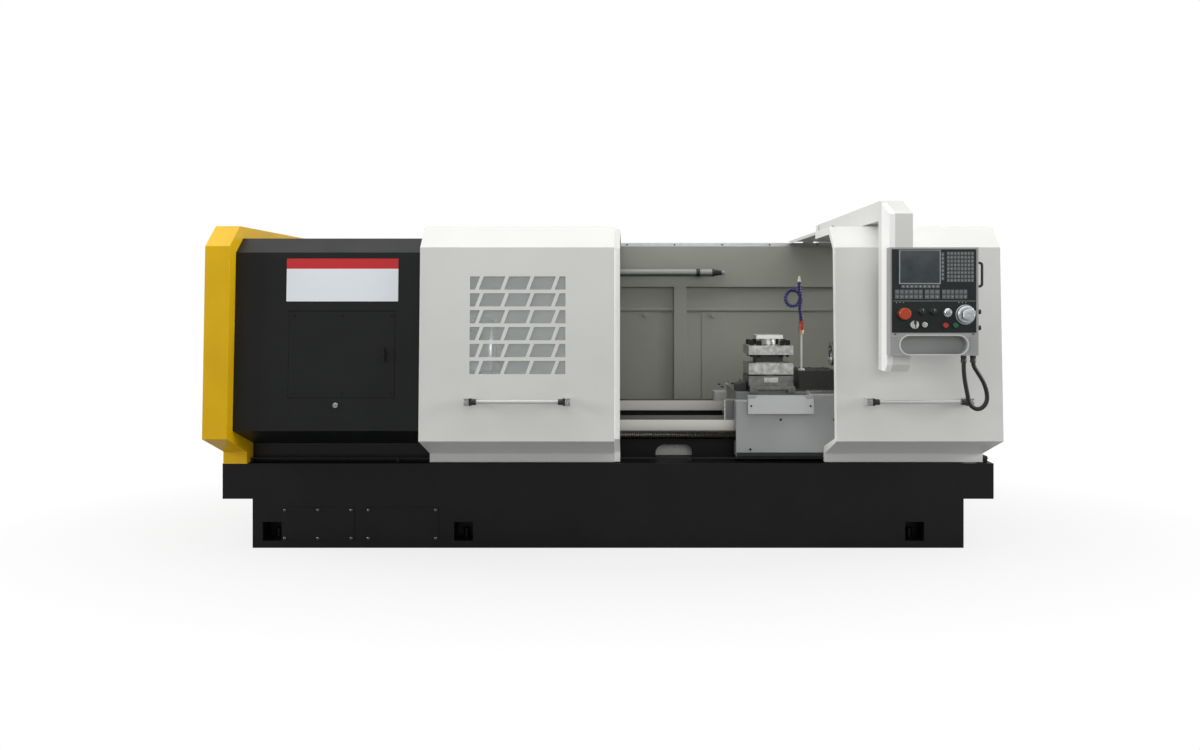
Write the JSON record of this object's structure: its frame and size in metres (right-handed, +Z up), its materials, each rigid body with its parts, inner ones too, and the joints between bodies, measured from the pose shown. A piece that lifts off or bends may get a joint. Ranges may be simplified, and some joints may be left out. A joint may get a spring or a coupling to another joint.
{
  "type": "cnc turning lathe",
  "caption": "Flat-bed turning lathe with a numerical control, sliding splash doors, a three-jaw chuck, a four-way tool post on a carriage, a tailstock and an overhead control panel.",
  "frame": {"origin": "on the floor, in the middle of the base's bottom face", "axes": "+X from the headstock to the tailstock along the spindle, +Y from the operator to the back, +Z up"},
  "size_m": [3.982, 1.9669, 1.761],
  "materials": {
    "base_paint": "satin black enamel",
    "black_paint": "satin black enamel",
    "yellow_paint": "gloss yellow enamel",
    "white_paint": "satin white enamel",
    "guard_paint": "satin grey enamel",
    "grey_paint": "satin grey enamel",
    "machine_paint": "satin grey enamel",
    "dark_paint": "satin dark enamel",
    "panel_paint": "fine texture grey enamel",
    "plate_paint": "printed plate",
    "cast_iron": "painted casting with ground ways",
    "ground_steel": "ground",
    "black_steel": "blackened",
    "zinc": "zinc plated",
    "chrome": "polished",
    "aluminium": "turned",
    "rubber": "moulded",
    "clear_pane": "clear",
    "screen_glass": "dark, gloss",
    "black_plastic": "moulded",
    "white_plastic": "moulded",
    "red_plastic": "moulded",
    "green_plastic": "moulded",
    "hose_plastic": "moulded",
    "key_plastic": "moulded"
  },
  "bodies": {
    "frame": {"base": "base_paint", "base_fittings": "zinc", "bed": "cast_iron", "headstock": "machine_paint", "headstock_cover": "black_paint", "access_panel": "black_paint", "end_cover": "yellow_paint", "nameplate": "plate_paint", "rear_guard": "guard_paint", "guard_panels": "guard_paint", "door_rails": "zinc", "work_lamp": "aluminium", "motors": "machine_paint", "drive_belts": "rubber", "control_boom": "white_paint", "panel_case": "panel_paint", "fascia": "black_plastic", "screen": "screen_glass", "keypad": "key_plastic", "side_handle": "black_plastic", "conduit": "black_plastic", "coolant_tank": "base_paint", "cabinet": "white_paint"},
    "left_door": {"left_door": "white_paint", "left_window": "clear_pane", "left_handle": "chrome"},
    "right_door": {"right_door": "white_paint", "right_handle": "chrome"},
    "access_latch": {"access_latch": "zinc"},
    "spindle": {"spindle": "ground_steel", "chuck": "ground_steel"},
    "jaw_1": {"jaw_1": "ground_steel"},
    "jaw_2": {"jaw_2": "ground_steel"},
    "jaw_3": {"jaw_3": "ground_steel"},
    "motor_pulley": {"motor_pulley": "cast_iron"},
    "long_screw": {"long_screw": "ground_steel"},
    "carriage": {"saddle": "cast_iron", "apron": "grey_paint", "saddle_covers": "dark_paint", "coolant_pipe": "ground_steel", "coolant_hose": "hose_plastic"},
    "valve_lever": {"valve_lever": "red_plastic"},
    "cross_screw": {"cross_screw": "ground_steel"},
    "cross_slide": {"cross_slide": "ground_steel"},
    "tool_post": {"tool_post": "ground_steel", "clamp_screws": "black_steel"},
    "tailstock": {"tailstock": "grey_paint"},
    "quill": {"quill": "ground_steel"},
    "tail_handwheel": {"tail_handwheel": "chrome"},
    "tail_clamp": {"tail_clamp": "black_steel"},
    "stop_mushroom": {"stop_mushroom": "red_plastic"},
    "knob_left": {"knob_left": "black_plastic"},
    "knob_right": {"knob_right": "black_plastic"},
    "key_switch": {"key_switch": "chrome"},
    "feed_handwheel": {"feed_handwheel": "aluminium"},
    "selector": {"selector": "white_plastic"},
    "stop_button": {"stop_button": "red_plastic"},
    "start_button": {"start_button": "green_plastic"},
    "cabinet_door": {"cabinet_door": "white_paint"},
    "cabinet_latch": {"cabinet_latch": "zinc"}
  },
  "joints": [
    {"name": "left_door_slide", "type": "slide", "parent": "frame", "child": "left_door", "axis": [1, 0, 0], "range_m": [-0.93, 0.53]},
    {"name": "right_door_slide", "type": "slide", "parent": "frame", "child": "right_door", "axis": [1, 0, 0], "range_m": [-0.53, 0]},
    {"name": "access_latch_turn", "type": "hinge", "parent": "frame", "child": "access_latch", "pos_m": [-1.114, -0.717, 1.008], "axis": [0, -1, 0], "range_deg": [0, 90]},
    {"name": "spindle_spin", "type": "hinge", "parent": "frame", "child": "spindle", "pos_m": [-1, -0.1, 0.976], "axis": [1, 0, 0], "continuous": true},
    {"name": "jaw_1_slide", "type": "slide", "parent": "spindle", "child": "jaw_1", "axis": [0, 0, 1], "range_m": [-0.025, 0.04]},
    {"name": "jaw_2_slide", "type": "slide", "parent": "spindle", "child": "jaw_2", "axis": [0, -0.866, -0.5], "range_m": [-0.025, 0.04]},
    {"name": "jaw_3_slide", "type": "slide", "parent": "spindle", "child": "jaw_3", "axis": [0, 0.866, -0.5], "range_m": [-0.025, 0.04]},
    {"name": "motor_spin", "type": "hinge", "parent": "frame", "child": "motor_pulley", "pos_m": [-1.9, 0.33, 0.572], "axis": [1, 0, 0], "continuous": true},
    {"name": "carriage_slide", "type": "slide", "parent": "frame", "child": "carriage", "axis": [1, 0, 0], "range_m": [-1.2, 0]},
    {"name": "long_screw_spin", "type": "hinge", "parent": "frame", "child": "long_screw", "pos_m": [0, -0.44, 0.566], "axis": [1, 0, 0], "continuous": true},
    {"name": "cross_slide_travel", "type": "slide", "parent": "carriage", "child": "cross_slide", "axis": [0, 1, 0], "range_m": [-0.1, 0.15]},
    {"name": "cross_screw_spin", "type": "hinge", "parent": "carriage", "child": "cross_screw", "pos_m": [0.87, 0, 0.75], "axis": [0, 1, 0], "continuous": true},
    {"name": "tool_post_index", "type": "hinge", "parent": "cross_slide", "child": "tool_post", "pos_m": [0.87, -0.25, 0.95], "axis": [0, 0, 1], "continuous": true},
    {"name": "valve_turn", "type": "hinge", "parent": "carriage", "child": "valve_lever", "pos_m": [1.064, -0.214, 1.1205], "axis": [0, -1, 0], "range_deg": [0, 90]},
    {"name": "tailstock_slide", "type": "slide", "parent": "frame", "child": "tailstock", "axis": [1, 0, 0], "range_m": [0, 0.13]},
    {"name": "tail_wheel_turn", "type": "hinge", "parent": "tailstock", "child": "tail_handwheel", "pos_m": [1.7, -0.1, 0.976], "axis": [1, 0, 0], "range_deg": [-9000, 0]},
    {"name": "quill_slide", "type": "slide", "parent": "tailstock", "child": "quill", "axis": [1, 0, 0], "range_m": [-0.15, 0]},
    {"name": "tail_clamp_turn", "type": "hinge", "parent": "tailstock", "child": "tail_clamp", "pos_m": [1.42, -0.1, 1.1], "axis": [0, 0, 1], "range_deg": [0, 60]},
    {"name": "stop_mushroom_press", "type": "slide", "parent": "frame", "child": "stop_mushroom", "axis": [0, 1, 0], "range_m": [0, 0.006], "stiffness_N_per_m": 800},
    {"name": "knob_left_turn", "type": "hinge", "parent": "frame", "child": "knob_left", "pos_m": [1.467, -1.02, 1.226], "axis": [0, -1, 0], "range_deg": [-120, 120]},
    {"name": "knob_right_turn", "type": "hinge", "parent": "frame", "child": "knob_right", "pos_m": [1.521, -1.02, 1.226], "axis": [0, -1, 0], "range_deg": [-120, 120]},
    {"name": "key_switch_turn", "type": "hinge", "parent": "frame", "child": "key_switch", "pos_m": [1.589, -1.02, 1.221], "axis": [0, -1, 0], "range_deg": [0, 90]},
    {"name": "feed_handwheel_spin", "type": "hinge", "parent": "frame", "child": "feed_handwheel", "pos_m": [1.67, -1.02, 1.212], "axis": [0, -1, 0], "continuous": true},
    {"name": "selector_turn", "type": "hinge", "parent": "frame", "child": "selector", "pos_m": [1.432, -1.02, 1.165], "axis": [0, -1, 0], "range_deg": [-60, 60]},
    {"name": "stop_button_press", "type": "slide", "parent": "frame", "child": "stop_button", "axis": [0, 1, 0], "range_m": [0, 0.003], "stiffness_N_per_m": 500},
    {"name": "start_button_press", "type": "slide", "parent": "frame", "child": "start_button", "axis": [0, 1, 0], "range_m": [0, 0.003], "stiffness_N_per_m": 500},
    {"name": "cabinet_door_hinge", "type": "hinge", "parent": "frame", "child": "cabinet_door", "pos_m": [-1.65, 0.877, 0.93], "axis": [0, 0, 1], "range_deg": [0, 110]},
    {"name": "cabinet_latch_turn", "type": "hinge", "parent": "cabinet_door", "child": "cabinet_latch", "pos_m": [-0.71, 0.89, 0.93], "axis": [0, 1, 0], "range_deg": [0, 90]}
  ],
  "couplings": [
    {"joint": "jaw_2_slide", "follows": "jaw_1_slide", "ratio": 1},
    {"joint": "jaw_3_slide", "follows": "jaw_1_slide", "ratio": 1},
    {"joint": "motor_spin", "follows": "spindle_spin", "ratio": 1.9444},
    {"joint": "long_screw_spin", "follows": "carriage_slide", "rad_per_m": 628.32},
    {"joint": "cross_screw_spin", "follows": "cross_slide_travel", "rad_per_m": 1256.6},
    {"joint": "quill_slide", "follows": "tail_wheel_turn", "m_per_rad": 0.00095493}
  ]
}
